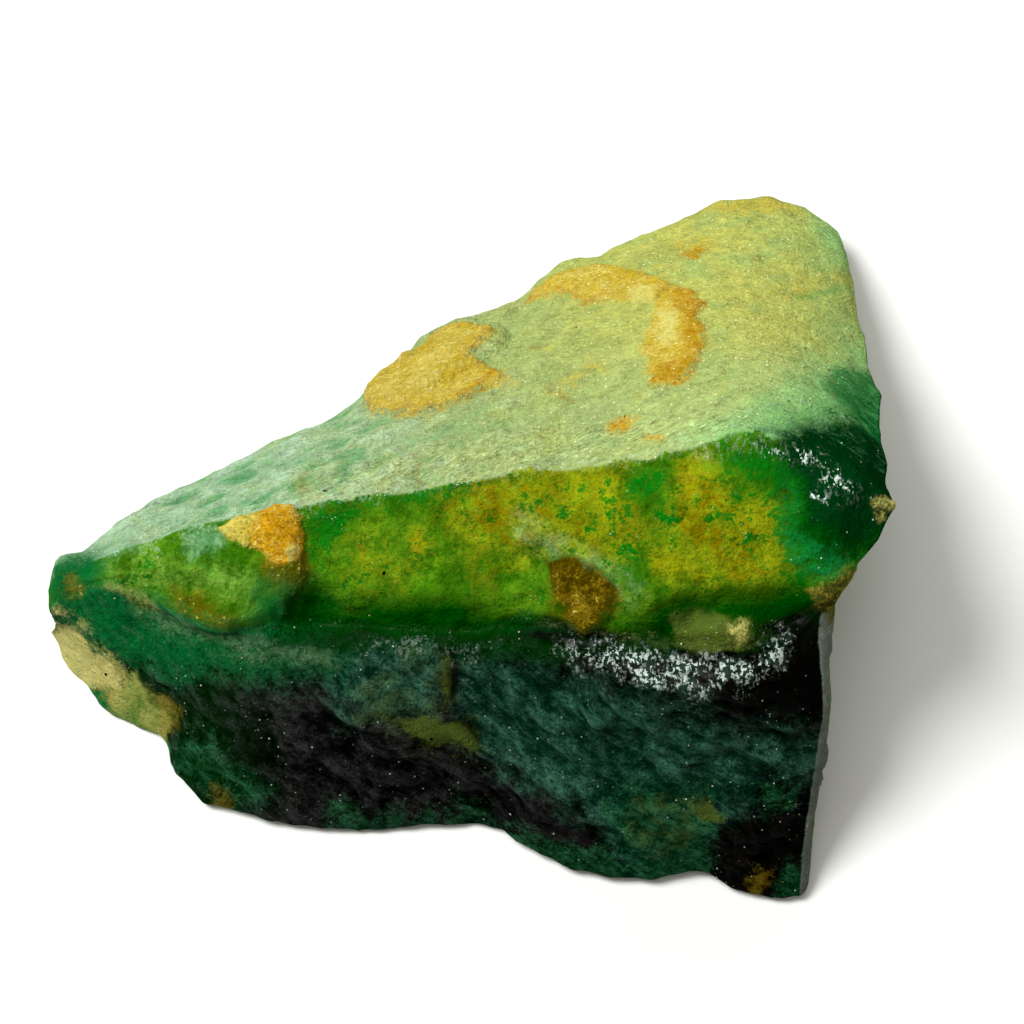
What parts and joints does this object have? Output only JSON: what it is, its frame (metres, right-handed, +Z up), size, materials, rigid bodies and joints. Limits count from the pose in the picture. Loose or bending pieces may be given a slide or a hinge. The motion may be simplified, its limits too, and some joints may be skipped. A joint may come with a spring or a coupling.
{
  "type": "raw fluorite stone",
  "caption": "Loose rough chunk of green and honey fluorite with a ridge, a sloping top and a steep front, lying on a flat underside.",
  "frame": {"origin": "centre of the bounding box at its underside, on the surface that the stone lies on", "axes": "+X along the ridge from the blunt tip to the knob, +Y towards the thin back edge, +Z up"},
  "size_m": [0.0694, 0.066, 0.0259],
  "materials": {
    "fluorite": "sugary broken fluorite, sage and honey on the sloping top, yellow-green to black-green in front, with small bright glints"
  },
  "bodies": {
    "root": {"fluorite": "fluorite"}
  },
  "joints": []
}
